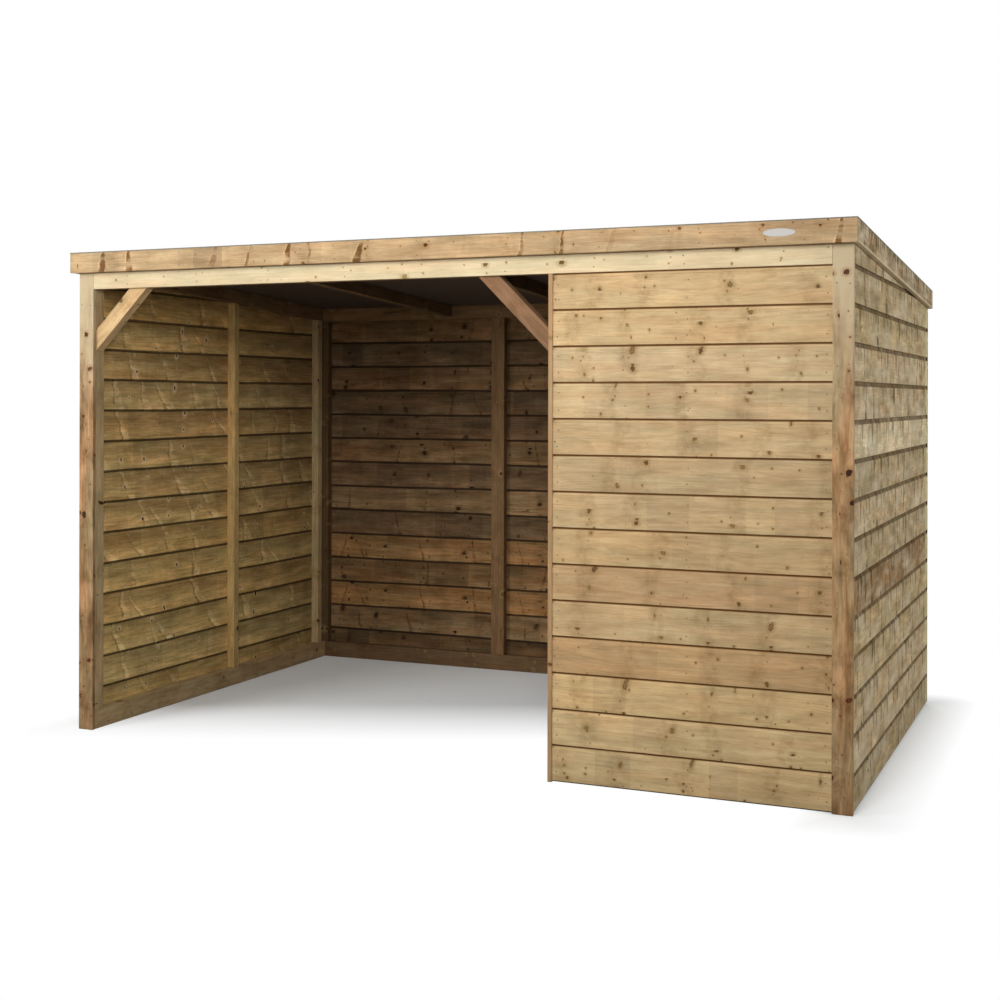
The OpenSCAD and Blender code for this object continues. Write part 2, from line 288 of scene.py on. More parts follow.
def softwood(
    name,
    ring_mm=7,
    ring_depth=0.5,
    fibre_depth=0.5,
    patch_depth=0.5,
    hue_depth=0.5,
    band_depth=0.0,
    block_depth=0.0,
    spike=None,
    whorl_stain=0.0,
    top_shade=0.0,
    whorl_mm=360,
    whorl_crowd=1.4,
    whorl_knot_mm=13,
    whorl_rarity=1.7,
    pin_mm=130,
    pin_knot_mm=4.5,
    knot=("#8a6a3e", "#4a3018"),
    pin="#5a3f20",
    halo="#8f7446",
    halo_depth=0.5,
    halo_reach=3.0,
    cracks=0.0,
    lap_shade_and_grime=None,
    lap_streaks=0.0,
    foot_shade_and_grime=0.0,
    roughness=0.7,
    saw_marks=0.0,
    weather=0.0,
    drip_mm=240,
    run_mm=62,
    foot_highlight=0.0,
    green_end=0.0,
    corner_shade_depth=0.0,
    pale_head=None,
    sun_bleach=0.0,
    gloss_level=0.12,
):
    """One finish of softwood. Depths are strengths, from 0 for none to about 1"""
    material, t = new_material(name)
    place = add(t, "Attribute", out="Vector", attribute_name="wood_place")
    heart = add(t, "Attribute", out="Vector", attribute_name="log_heart")
    wood = add(t, "Attribute", out="Color", attribute_name="board_colour")
    rise = add(t, "Attribute", out="Fac", attribute_name="board_rise")
    if sun_bleach:
        # Years of sun bring boards of every tone close to one grey beige
        wood = add(t, "Mix", {0: sun_bleach, 6: wood, 7: "#b49e78"}, **MIX_COLOURS)

    # The heart wanders by a few centimetres along a metre, which draws cathedral rings on the face
    slow = add(t, "VectorMath MULTIPLY", [place, (1.3, 0, 0)])
    sway = add(t, "TexNoise", {"Vector": slow, "Scale": 1.0, "Detail": 1.0}, out="Color")
    sway = add(t, "VectorMath SUBTRACT", [sway, (0.5, 0.5, 0.5)])
    sway = add(t, "VectorMath MULTIPLY", [sway, (0, 0.09, 0.07)])
    away = add(t, "VectorMath SUBTRACT", [place, heart])
    away = add(t, "VectorMath ADD", [away, sway])
    radial = add(t, "VectorMath MULTIPLY", [away, (0, 1, 1)])
    reach = add(t, "VectorMath LENGTH", [radial], out="Value")
    axes = add(t, "SeparateXYZ", [away]).node
    along = axes.outputs[0]
    turn = add(t, "Math ARCTAN2", [axes.outputs[1], axes.outputs[2]])

    # Knots: thick branches in whorls, and pin knots between them, with ragged outlines
    ragged = stretched_noise(t, place, (130.0, 130.0, 130.0), detail=3.0)
    whorl, luck, off_whorl = branches(
        t, along, reach, turn, whorl_mm * MM, whorl_crowd, 0.06, 0.25, whorl_knot_mm * MM, whorl_rarity
    )
    whorl = add(t, "Math MULTIPLY_ADD", [ragged, 0.3, whorl])
    pin_gap = pin_mm * MM
    pins, _, _ = branches(t, along, reach, turn, pin_gap, 1.6, 0.5 * pin_gap, 0.0, pin_knot_mm * MM)
    pins = add(t, "Math MULTIPLY_ADD", [ragged, 0.25, pins])
    whorl_mask = add(t, "MapRange", [whorl, 1.1, 0.8, 0.0, 1.0], **SOFT_STEP)
    rim_mask = add(t, "MapRange", [whorl, 0.45, 0.95, 0.0, 1.0], **SOFT_STEP)
    halo_mask = add(t, "MapRange", [whorl, halo_reach, 0.9, 0.0, halo_depth], **SOFT_STEP)
    pin_mask = add(t, "MapRange", [pins, 1.2, 0.7, 0.0, 0.9], **SOFT_STEP)
    pin_halo = add(t, "MapRange", [pins, 3.2, 1.0, 0.0, 0.7 * halo_depth], **SOFT_STEP)
    swirl = add(t, "MapRange", [whorl, 6.0, 0.8, 0.0, 1.0], **SOFT_STEP)

    # Rings bulge round a knot. The pale early wood turns slowly to dark late wood, then breaks off
    bulge = add(t, "Math MULTIPLY_ADD", [swirl, 1.6 * whorl_knot_mm * MM, reach])
    wander = stretched_noise(t, place, (3.0, 18.0, 18.0))
    bulge = add(t, "Math MULTIPLY_ADD", [wander, 0.004, bulge])
    rings = add(t, "Math DIVIDE", [bulge, ring_mm * MM])
    year = add(t, "Math FRACT", [rings])
    late = add(t, "MapRange", [year, 0.3, 0.9, 0.0, 1.0], **SOFT_STEP)
    fall = add(t, "MapRange", [year, 1.0, 0.9, 0.0, 1.0], **SOFT_STEP)
    late = add(t, "Math MULTIPLY", [late, fall])
    # Some years are darker, and the planer leaves a ring plain in one place and torn in another
    seasons = add(t, "TexNoise", {"W": rings, "Scale": 0.6, "Detail": 1.0}, noise_dimensions="1D")
    seasons = add(t, "MapRange", [seasons, 0.35, 0.65, 0.2, 1.0])
    late = add(t, "Math MULTIPLY", [late, seasons])
    worn = stretched_noise(t, place, (7.0, 40.0, 40.0), floor=0.15, shift=3.0)
    late = add(t, "Math MULTIPLY", [late, worn])

    # Fibres are drawn in bundles 4 to 9 mm wide, because the real ones are far too fine to show
    fibres = stretched_noise(t, place, (6.0, 110.0, 110.0), detail=3.0)
    flecks = stretched_noise(t, place, (45.0, 240.0, 240.0), detail=2.0, shift=9.0)
    # The treatment salts take unevenly: hand-sized patches turn darker, greener or pinker
    patches = stretched_noise(t, place, (5.0, 21.0, 21.0), detail=3.0, shift=5.0)
    hues = stretched_noise(t, place, (2.6, 15.0, 15.0), detail=2.0, shift=17.0)

    colour = tinted(t, wood, patches, (0.4, 0.42, 0.48), patch_depth)
    colour = tinted(t, colour, hues, (0.08, -0.03, -0.08), hue_depth)
    colour = tinted(t, colour, fibres, (0.26, 0.29, 0.35), fibre_depth)
    colour = tinted(t, colour, flecks, (0.14, 0.15, 0.18), fibre_depth)
    colour = tinted(t, colour, late, (-0.4, -0.47, -0.58), ring_depth)
    if block_depth:
        # Stain blocks with plain edges, where stacking sticks lay across the board in the tank
        spread = add(t, "Math MULTIPLY", [along, 6.5])
        uneven = {"W": spread, "Scale": 1.0, "Randomness": 1.0}
        blocks = add(t, "TexVoronoi", uneven, out="Color", **ON_A_LINE)
        blocks = add(t, "SeparateColor", [blocks])
        blocks = add(t, "Math MULTIPLY_ADD", [blocks, 2.0, -1.0])
        blocks = add(t, "Math POWER", [blocks, 3.0])
        colour = tinted(t, colour, blocks, (0.5, 0.5, 0.45), block_depth)
    if whorl_stain:
        # The wood round a whorl is denser and takes the treatment darker, right across the board
        near = add(t, "Math MULTIPLY_ADD", [wander, 0.02, off_whorl])
        near = add(t, "Math ABSOLUTE", [near])
        near = add(t, "MapRange", [near, 0.05, 0.015, 0.0, 1.0], **SOFT_STEP)
        clouds = stretched_noise(t, place, (30.0, 26.0, 26.0), detail=3.0, floor=0.0, shift=81.0)
        near = add(t, "Math MULTIPLY", [near, clouds])
        colour = tinted(t, colour, near, (-0.34, -0.38, -0.46), whorl_stain)
    if spike:
        colour = spiked(t, colour, place, **spike)
    if top_shade:
        # Painted shade: each board darker towards its top, under the lap, and lighter at its foot
        shade = add(t, "MapRange", [rise, 0.2, 1.05, -0.6, 1.0], **SOFT_STEP)
        shade = add(t, "Math MULTIPLY_ADD", [wander, 0.15, shade])
        colour = tinted(t, colour, shade, (-1.0, -1.0, -1.0), top_shade)
    if band_depth:
        # Stacking sticks and the saw leave soft bands across a sawn face
        bands = stretched_noise(t, place, (11.0, 2.5, 2.5), detail=3.0, shift=31.0)
        colour = tinted(t, colour, bands, (0.2, 0.2, 0.22), band_depth)
    if pale_head:
        # The foot is cut from red heartwood and the head, higher up the tree, from pale sapwood
        head = add(t, "Math MULTIPLY_ADD", [patches, 0.06, rise])
        head = add(t, "MapRange", [head, 0.66, 0.98, 0.0, 0.95], **SOFT_STEP)
        colour = add(t, "Mix", {0: head, 6: colour, 7: pale_head}, **MIX_COLOURS)
    halo_mask = add(t, "Math MAXIMUM", [halo_mask, pin_halo])
    colour = add(t, "Mix", {0: halo_mask, 6: colour, 7: halo}, **MIX_COLOURS)
    if cracks:
        # Drying checks: thin dark splits that follow the grain and close again
        checks = add(t, "VectorMath MULTIPLY", [place, (1.1, 34.0, 34.0)])
        checks = add(t, "TexNoise", {"Vector": checks, "Scale": 1.0, "Detail": 1.0})
        checks = add(t, "Math SUBTRACT", [checks, 0.5])
        checks = add(t, "Math ABSOLUTE", [checks])
        checks = add(t, "MapRange", [checks, 0.0, 0.012, cracks, 0.0])
        opened = stretched_noise(t, place, (2.3, 7.0, 7.0), low=0.54, high=0.66, floor=0.0, shift=43.0)
        checks = add(t, "Math MULTIPLY", [checks, opened])
        colour = add(t, "Mix", {0: checks, 6: colour, 7: "#24170c"}, **MIX_COLOURS)
    if weather:
        colour = weathered(t, colour, place, rise, weather, drip_mm, run_mm)
    if foot_highlight:
        # Painted highlight: a pale band along the lower edge, standing in for its underside lit from
        # below
        foot_highlight_mask = add(t, "MapRange", [rise, 0.14, 0.08, 0.0, foot_highlight], **SOFT_STEP)
        colour = add(t, "Mix", {0: foot_highlight_mask, 6: colour, 7: "#d9c8a4"}, **MIX_COLOURS)
    point = add(t, "NewGeometry").node
    towards_back = add(t, "SeparateXYZ", [point.outputs["Position"]], out="Y")
    if corner_shade_depth:
        # Painted shade: the boards darken towards the back corners, where little light reaches
        corner_shade_mask = add(t, "MapRange", [towards_back, 0.1, 1.1, 0.0, corner_shade_depth])
        colour = tinted(t, colour, corner_shade_mask, (-1.0, -0.97, -0.85))
    if green_end:
        # The side walls' boards turn pale yellow-green over their last stretch by the back corner
        green = add(t, "MapRange", [towards_back, 0.98, 1.1, 0.0, green_end], **SOFT_STEP)
        facing = add(t, "SeparateXYZ", [point.outputs["Normal"]])
        facing = add(t, "Math MULTIPLY", [facing, facing])
        green = add(t, "Math MULTIPLY", [green, facing])
        colour = add(t, "Mix", {0: green, 6: colour, 7: "#dcd8a4"}, **MIX_COLOURS)
    colour = add(t, "Mix", {0: pin_mask, 6: colour, 7: pin}, **MIX_COLOURS)
    fresh, dead = knot
    knot_colour = add(t, "Mix", {0: luck, 6: fresh, 7: dead}, **MIX_COLOURS)
    knot_colour = add(t, "Mix", {0: rim_mask, 6: knot_colour, 7: dead}, **MIX_COLOURS)
    knot_colour = tinted(t, knot_colour, ragged, (0.25, 0.25, 0.25))
    colour = add(t, "Mix", {0: whorl_mask, 6: colour, 7: knot_colour}, **MIX_COLOURS)
    if lap_shade_and_grime:
        # Where the next board laps over: a dark brown band of painted shade, for the lap's shadow, with
        # some dust and grime in it
        grime_and_shade, start, depth = lap_shade_and_grime
        under_lap = add(t, "MapRange", [rise, start, start + 0.03, 0.0, depth], **SOFT_STEP)
        under_lap = add(t, "Math MULTIPLY_ADD", [wander, 0.06, under_lap], use_clamp=True)
        under_lap = add(t, "Math MINIMUM", [under_lap, depth])
        if lap_streaks:
            streaks = stretched_noise(t, place, (60.0, 4.0, 4.0), detail=3.0, floor=0.0, shift=91.0)
            streaks = add(t, "Math MULTIPLY_ADD", [streaks, -lap_streaks, 1.0])
            under_lap = add(t, "Math MULTIPLY", [under_lap, streaks])
        if foot_shade_and_grime:
            # Painted shade with some dust along the board's foot, by the seam below it
            at_foot = add(t, "MapRange", [rise, foot_shade_and_grime + 0.02, foot_shade_and_grime, 0.0, depth], **SOFT_STEP)
            under_lap = add(t, "Math MAXIMUM", [under_lap, at_foot])
        colour = add(t, "Mix", {0: under_lap, 6: colour, 7: grime_and_shade}, **MIX_COLOURS)

    relief = add(t, "Math MULTIPLY", [late, 0.5])
    relief = add(t, "Math MULTIPLY_ADD", [fibres, 0.3, relief])
    if saw_marks:
        # Saw marks stand across the board, drawn about 9 mm apart so that they show
        marks = stretched_noise(t, place, (110.0, 5.0, 5.0))
        relief = add(t, "Math MULTIPLY_ADD", [marks, saw_marks, relief])
    bump = add(t, "Bump", {"Strength": 0.5, "Distance": 0.8 * MM, "Height": relief})
    gloss = add(t, "MapRange", [late, 0.0, 1.0, roughness, roughness - 0.12])
    surface = add(t, "BsdfPrincipled", {"Base Color": colour, "Roughness": gloss, "Normal": bump})
    # Open fibres scatter most of the gloss that the wood itself would have
    surface.node.inputs["IOR"].default_value = 1.5
    surface.node.inputs["Specular IOR Level"].default_value = gloss_level
    add(t, "OutputMaterial", {"Surface": surface})
    return material


def weathered(t, colour, place, rise, depth, drip_mm, run_mm):
    """Rain runs out of each lap and down the board, and leaves dark drips and grey patches; the pale
    patches are partly wood paled by the sun and partly painted sheen
    """
    # Each run is as long as its luck at that place along the board, from nothing to the whole face
    streak = (1 / (run_mm * MM), 0.8, 0.0)
    luck = stretched_noise(t, place, streak, detail=3.0, low=0.46, high=0.74, floor=0.0, shift=2.0)
    runs = add(t, "Math MULTIPLY_ADD", [luck, 0.95, rise])
    runs = add(t, "MapRange", [runs, 0.78, 1.15, 0.0, 1.0], **SOFT_STEP)
    plain = add(t, "MapRange", [luck, 0.0, 0.5, 0.0, 1.0])
    runs = add(t, "Math MULTIPLY", [runs, plain])
    clouds = stretched_noise(t, place, (7.0, 14.0, 0.0), detail=3.0, shift=4.0)
    greys = stretched_noise(t, place, (2.4, 7.0, 0.0), low=0.35, high=0.65, floor=0.0, shift=7.0)
    # Pale cream patches: partly wood paled by the sun, partly a painted sheen, as of bright
    # surroundings glancing off the boards
    bleach_and_sheen = stretched_noise(
        t, place, (3.0, 9.0, 0.0), detail=4.0, low=0.46, high=0.72, floor=0.0, shift=21.0
    )
    greys = add(t, "Math MULTIPLY", [greys, 0.4 * depth])
    bleach_and_sheen = add(t, "Math MULTIPLY", [bleach_and_sheen, 0.6 * depth])
    colour = add(t, "Mix", {0: greys, 6: colour, 7: "#aa9a7e"}, **MIX_COLOURS)
    colour = tinted(t, colour, clouds, (0.28, 0.29, 0.34), depth)
    colour = add(t, "Mix", {0: bleach_and_sheen, 6: colour, 7: "#ddd0b4"}, **MIX_COLOURS)
    # Dark mould follows cracks and single drips across the board in crooked lines
    mould = {"width_mm": 42, "lean": 0.0, "spread": 0.3, "body": (-0.5, -0.53, -0.56)}
    colour = spiked(t, colour, place, drip_mm, **mould, flank=(0.2, 0.2, 0.2), depth=min(1, depth))
    return tinted(t, colour, runs, (-0.5, -0.53, -0.58), depth)


# Planed pale boards: smooth, with fine rings, round knots of all sizes and a brown line of painted
# shade and dust in each lap
planed_board = softwood(
    "planed_spruce_board",
    roughness=0.62,
    fibre_depth=0.3,
    patch_depth=0.4,
    block_depth=0.25,
    whorl_stain=0.65,
    whorl_mm=290,
    whorl_crowd=2.6,
    whorl_knot_mm=12,
    pin_mm=105,
    pin_knot_mm=6,
    knot=("#8a6a40", "#5a4023"),
    pin="#6f5128",
    halo="#8f7549",
    halo_depth=0.65,
    lap_shade_and_grime=("#56340a", 0.93, 0.97),
)
# Boards that face the rain: planed once, now grey-beige, streaked from each lap, brown in the coves
# from grime and painted shade
rain_worn = {
    "roughness": 0.9,
    "gloss_level": 0.04,
    "weather": 1.0,
    "patch_depth": 0.5,
    "block_depth": 0.2,
    "knot": ("#6a5334", "#43301b"),
    "halo": "#7d6a48",
    "green_end": 0.6,
    "lap_shade_and_grime": ("#4c3a20", 0.86, 0.92),
    "lap_streaks": 0.45,
}
weathered_board = softwood("weathered_spruce_board", **rain_worn)
# The same for the left and back walls, whose boards have tones of their own inside
bleached_board = softwood("sun_bleached_spruce_board", sun_bleach=0.8, **rain_worn)
# The backs of the boards are left from the saw: furry and dull. Branches cut along their length
# cross them as pale feathers with a dark line on one side
sawn_board = softwood(
    "sawn_spruce_board_back",
    roughness=0.85,
    saw_marks=0.8,
    patch_depth=0.6,
    fibre_depth=0.7,
    hue_depth=0.6,
    band_depth=0.4,
    block_depth=0.25,
    spike={
        "gap_mm": 230,
        "width_mm": 66,
        "lean": -0.6,
        "spread": 0.5,
        "body": (0.3, 0.4, 0.62),
        "flank": (-0.4, -0.43, -0.48),
        "depth": 1.0,
    },
    whorl_mm=260,
    whorl_crowd=2.0,
    whorl_knot_mm=9,
    pin_knot_mm=4,
    knot=("#8a6636", "#463015"),
    pin="#6a4b26",
    # Its pale halo round the knots is partly painted sheen, of raised fibres catching the light
    halo="#ecd2a4",
    halo_depth=0.6,
    halo_reach=4.0,
    cracks=0.5,
    lap_shade_and_grime=("#2a1c0f", 1.055, 0.8),
    top_shade=0.3,
    foot_shade_and_grime=0.15,
    corner_shade_depth=0.38,
)
# Sawn board backs of the darker logs, stained in blocks, with plain dark knots and red-brown spikes
dark_sawn_board = softwood(
    "dark_sawn_board_back",
    roughness=0.85,
    saw_marks=0.6,
    patch_depth=0.8,
    fibre_depth=0.7,
    hue_depth=0.9,
    band_depth=0.5,
    block_depth=0.5,
    spike={
        "gap_mm": 330,
        "width_mm": 24,
        "lean": 0.0,
        "spread": 0.5,
        "body": (-0.5, -0.6, -0.66),
        "flank": (0.2, 0.2, 0.2),
        "depth": 0.8,
    },
    whorl_mm=240,
    whorl_crowd=2.2,
    whorl_knot_mm=15,
    pin_knot_mm=5,
    knot=("#523a24", "#2e1d10"),
    pin="#3d2916",
    halo="#4a3823",
    halo_reach=2.8,
    cracks=0.8,
    lap_shade_and_grime=("#1f140b", 1.055, 0.8),
    top_shade=0.2,
    foot_shade_and_grime=0.15,
)
# End grain drinks the treatment and stays yellow-green
end_grain = softwood("cut_board_end", roughness=0.9, ring_mm=4, fibre_depth=0.2)
# Regularised framing, planed all round with eased arrises
framing = softwood(
    "regularised_pine_framing",
    roughness=0.75,
    whorl_mm=380,
    whorl_knot_mm=15,
    whorl_stain=0.6,
    halo="#a98f60",
    halo_reach=3.5,
    knot=("#7a5a34", "#3d2613"),
    cracks=0.6,
)
# Clear pale trim, planed, with few small knots
pale_trim = softwood(
    "planed_pale_trim",
    roughness=0.6,
    whorl_mm=400,
    whorl_crowd=2.0,
    pin_mm=180,
    knot=("#9a7d4c", "#5f4422"),
    pin="#6e5029",
    ring_depth=0.2,
    fibre_depth=0.25,
    patch_depth=0.25,
)
# Fascia: warm planed pine, crossed by red-brown branches cut along their length
fascia_board = softwood(
    "planed_pine_fascia",
    roughness=0.65,
    spike={
        "gap_mm": 190,
        "width_mm": 34,
        "lean": 0.2,
        "spread": 0.25,
        "body": (-0.55, -0.66, -0.76),
        "flank": (0.3, 0.28, 0.24),
        "depth": 1.15,
    },
    whorl_mm=330,
    whorl_knot_mm=11,
    whorl_stain=0.5,
    ring_depth=0.6,
    fibre_depth=0.4,
    block_depth=0.35,
    knot=("#7c5630", "#46280f"),
    halo="#9b6f3f",
    cracks=0.3,
)
# Cover trims: the same pine with thick dark knots and stained round them
trim_board = softwood(
    "planed_pine_cover_trim",
    roughness=0.65,
    whorl_mm=230,
    whorl_crowd=1.3,
    whorl_knot_mm=17,
    whorl_rarity=0.5,
    whorl_stain=0.9,
    pin_knot_mm=6,
    ring_depth=0.8,
    patch_depth=1.1,
    hue_depth=1.2,
    block_depth=0.12,
    knot=("#6b3f22", "#2e170b"),
    halo="#8a5f3a",
    halo_reach=2.6,
    pale_head="#bba988",
    cracks=0.6,
)
# Barge boards: planed pine that the rain has streaked from the roof's edge
barge_board = softwood(
    "rain_streaked_pine",
    roughness=0.9,
    gloss_level=0.04,
    weather=1.5,
    drip_mm=75,
    run_mm=52,
    patch_depth=0.8,
    block_depth=0.3,
    whorl_stain=0.6,
    knot=("#5c4227", "#2f1c0e"),
    halo="#7d6440",
    cracks=0.5,
    foot_highlight=0.65,
)


# ---- Other finishes ----


def strand_board():
    """Oriented strand board: pressed flakes a few centimetres long, lying every way, waxy and very dark
    brown, which is partly painted shade for its underside under the roof
    """
    material, t = new_material("pressed_strand_board")
    place = add(t, "NewGeometry", out="Position")
    flakes = add(t, "TexVoronoi", {"Vector": place, "Scale": 38.0, "Randomness": 1.0}, out="Color")
    tone = add(t, "SeparateColor", [flakes])
    colour = add(t, "Mix", {0: tone, 6: "#2b1e12", 7: "#412e1d"}, **MIX_COLOURS)
    bump = add(t, "Bump", {"Strength": 0.4, "Distance": 0.6 * MM, "Height": tone})
    surface = add(t, "BsdfPrincipled", {"Base Color": colour, "Roughness": 0.7, "Normal": bump})
    add(t, "OutputMaterial", {"Surface": surface})
    return material


def mineral_felt():
    """Roofing felt with a slate grit pressed in: matt, speckled, a little faded by the sun"""
    material, t = new_material("slate_mineral_felt")
    place = add(t, "NewGeometry", out="Position")
    # Grit of 2.4 mm, about twice as coarse as the real one, so that it shows
    grit = add(t, "TexVoronoi", {"Vector": place, "Scale": 420.0}, out="Color")
    grain = add(t, "SeparateColor", [grit])
    fade = add(t, "TexNoise", {"Vector": place, "Scale": 2.0, "Detail": 3.0})
    colour = add(t, "Mix", {0: grain, 6: "#57554e", 7: "#85827a"}, **MIX_COLOURS)
    colour = add(t, "Mix", {0: fade, 6: colour, 7: "#726f67"}, **MIX_COLOURS)
    bump = add(t, "Bump", {"Strength": 0.7, "Distance": 1.0 * MM, "Height": grain})
    surface = add(t, "BsdfPrincipled", {"Base Color": colour, "Roughness": 0.92, "Normal": bump})
    add(t, "OutputMaterial", {"Surface": surface})
    return material


def satin_aluminium():
    """Aluminium plate under a dull clear lacquer, evenly brushed along its length"""
    material, t = new_material("satin_anodised_aluminium")
    place = add(t, "NewGeometry", out="Position")
    # Brush lines about 1 mm apart, ten times as coarse as the real ones
    lines = add(t, "VectorMath MULTIPLY", [place, (30, 900, 900)])
    lines = add(t, "TexNoise", {"Vector": lines, "Scale": 1.0, "Detail": 2.0})
    gloss = add(t, "MapRange", [lines, 0.3, 0.7, 0.62, 0.75])
    colour = add(t, "Mix", {0: lines, 6: "#a9a6a1", 7: "#b6b3ae"}, **MIX_COLOURS)
    surface = add(t, "BsdfPrincipled", {"Base Color": colour, "Metallic": 0.1, "Roughness": gloss})
    add(t, "OutputMaterial", {"Surface": surface})
    return material


def galvanised_steel():
    """Hot-dipped nail heads: a mottled zinc skin, dulled and browned by what the rain brings out of
    the treated wood"""
    material, t = new_material("galvanised_nail_steel")
    place = add(t, "NewGeometry", out="Position")
    mottle = add(t, "TexNoise", {"Vector": place, "Scale": 300.0, "Detail": 2.0})
    colour = add(t, "Mix", {0: mottle, 6: "#62523e", 7: "#8c7b62"}, **MIX_COLOURS)
    surface = add(t, "BsdfPrincipled", {"Base Color": colour, "Metallic": 0.3, "Roughness": 0.75})
    add(t, "OutputMaterial", {"Surface": surface})
    return material


deck_board = strand_board()
felt_grit = mineral_felt()
plate_metal = satin_aluminium()
nail_steel = galvanised_steel()

# Clear wood colours, from fresh cream through sand to weathered olive and dark umber
TONES = {
    "cream": "#cbb791",
    "straw": "#c2a577",
    "hay": "#b89d75",
    "sand": "#b1976f",
    "fawn": "#a98b64",
    "tan": "#a98b63",
    "moss": "#caa86e",
    "fern": "#dab877",
    "brown": "#836544",
    "umber": "#71583d",
    "silver": "#c6ad85",
    "dove": "#b69f76",
    "clay": "#a28a69",
    "olive": "#93805a",
    "honey": "#b0946f",
    "pale_rose": "#c2a277",
    "amber": "#c09c65",
    "sorrel": "#9a744a",
    "walnut": "#8f7250",
    "rust": "#95744d",
    "pine": "#a0805b",
    "cone": "#987956",
    "linen": "#dbc8a3",
    "gorse": "#d3ac6c",
    "cocoa": "#806147",
    "char": "#614a2f",
}


# ---- Building timber ----


def add_layers(bm):
    """The four attributes that softwood reads"""
    return (
        bm.verts.layers.float_vector.new("wood_place"),
        bm.verts.layers.float_vector.new("log_heart"),
        bm.verts.layers.float_color.new("board_colour"),
        bm.verts.layers.float.new("board_rise"),
    )


def varied(hex_colour, rng):
    """A clear wood colour with a small change of tone, as from one tree to the next"""
    light = 1 + rng.uniform(-TONE_SPREAD, TONE_SPREAD)
    warm = rng.uniform(-TONE_SPREAD, TONE_SPREAD) / 3
    red, green, blue, alpha = linear(hex_colour)
    return (red * light * (1 + warm), green * light, blue * light * (1 - 2 * warm), alpha)


def timber(name, along, across, tone, finish, seed, heart=HEART_NEAR_EDGE):
    """A sawn piece in place of its node, with eased arrises and its own stretch of a log"""
    rng = random.Random(seed)
    along = Vector(along).normalized()
    across = Vector(across).normalized()
    through = along.cross(across)
    bm = bmesh.new()
    bm.from_mesh(nodes[name].data)
    bmesh.ops.remove_doubles(bm, verts=bm.verts, dist=0.1 * MM)
    bmesh.ops.dissolve_limit(bm, angle_limit=math.radians(0.5), verts=bm.verts, edges=bm.edges)
    bmesh.ops.bevel(
        bm, geom=bm.edges[:], offset=TIMBER_ARRIS, segments=2, profile=0.5, affect="EDGES"
    )
    bm.normal_update()
    place, log, colour, rise = add_layers(bm)
    low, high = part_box(name)
    middle = (low + high) / 2
    log_at = (0, heart[0] + rng.uniform(-0.02, 0.02), heart[1] + rng.uniform(-0.015, 0.015))
    log_start = rng.uniform(0, LOGS_LENGTH)
    tint = varied(TONES[tone], rng)
    # Cover trims change from their foot to their head, and other pieces from edge to edge
    upward = along if finish == trim_board else across
    half_rise = max((vert.co - middle).dot(upward) for vert in bm.verts)
    for vert in bm.verts:
        off = vert.co - middle
        vert[place] = (off.dot(along) + log_start, off.dot(across), off.dot(through))
        vert[log] = log_at
        vert[colour] = tint
        vert[rise] = 0.5 + 0.5 * off.dot(upward) / half_rise
    make_piece(bm, name + "_timber", [finish], name)


def make_piece(bm, name, finishes, *replaced):
    """Turns a bmesh into a piece that rides on the root and stands for its nodes"""
    mesh = bpy.data.meshes.new(name)
    bm.to_mesh(mesh)
    bm.free()
    for finish in finishes:
        mesh.materials.append(finish)
    piece = bpy.data.objects.new(mesh.name, mesh)
    bpy.context.scene.collection.objects.link(piece)
    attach(piece, "root")
    if replaced:
        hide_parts(*replaced)
    return piece


def skin(bm, first, second):
    """Faces all round between two loops of vertices"""
    ahead = [loop[1:] + loop[:1] for loop in (second, first)]
    return [bm.faces.new(corners) for corners in zip(first, second, *ahead)]


def face_corner(name, outward, at_top=True):
    """Where a node's outer face starts, at its left or front end and its top or foot, and the size of
    its box"""
    low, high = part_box(name)
    x = high.x if outward.x > 0 else low.x
    y = high.y if outward.y > 0 else low.y
    return Vector((x, y, high.z if at_top else low.z)), high - low


def roof_line():
    """A point on the deck's underside at its front edge, and the direction down the slope"""
    low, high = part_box("roof_deck")
    run = high.y - low.y
    fall = high.z - low.z - DECK_T
    return Vector((0, low.y, high.z - DECK_T)), Vector((0, run, -fall)).normalized()


eaves_point, down_slope = roof_line()
roof_normal = RIGHT.cross(down_slope)


# ---- Cladding ----


def board_section(pitch):
    """Outline of one coved board, as depth behind the face and height over its lower edge"""
    turns = [math.radians(90 * k / COVE_STEPS) for k in range(COVE_STEPS + 1)]
    cove = [(COVE_D * math.sin(turn), pitch - COVE_H * math.cos(turn)) for turn in turns]
    tongue_top = pitch + LAP - LAP_GAP
    return [
        (BOARD_ARRIS, 0),
        (0, BOARD_ARRIS),
        *cove,
        (COVE_D + BOARD_ARRIS / 2, tongue_top),
        (TONGUE_T - BOARD_ARRIS, tongue_top),
        (TONGUE_T, tongue_top - BOARD_ARRIS),
        (CLAD_T, LAP + BOARD_ARRIS),
        (CLAD_T - BOARD_ARRIS, LAP),
        (COVE_D - BOARD_ARRIS, LAP),
        (COVE_D - BOARD_ARRIS, 0),
    ]


def wander_of(rng, reach):
    """How far an edge lies off its straight line, as a function of the run along the wall"""
    size = rng.uniform(0.4, 1.0) * reach / 1.4
    pace = rng.uniform(1.5, 3.0)
    phase = rng.uniform(0, 6)

    def off_line(run):
        return size * (math.sin(pace * run + phase) + 0.4 * math.sin(2.7 * pace * run + 2 * phase))

    return off_line


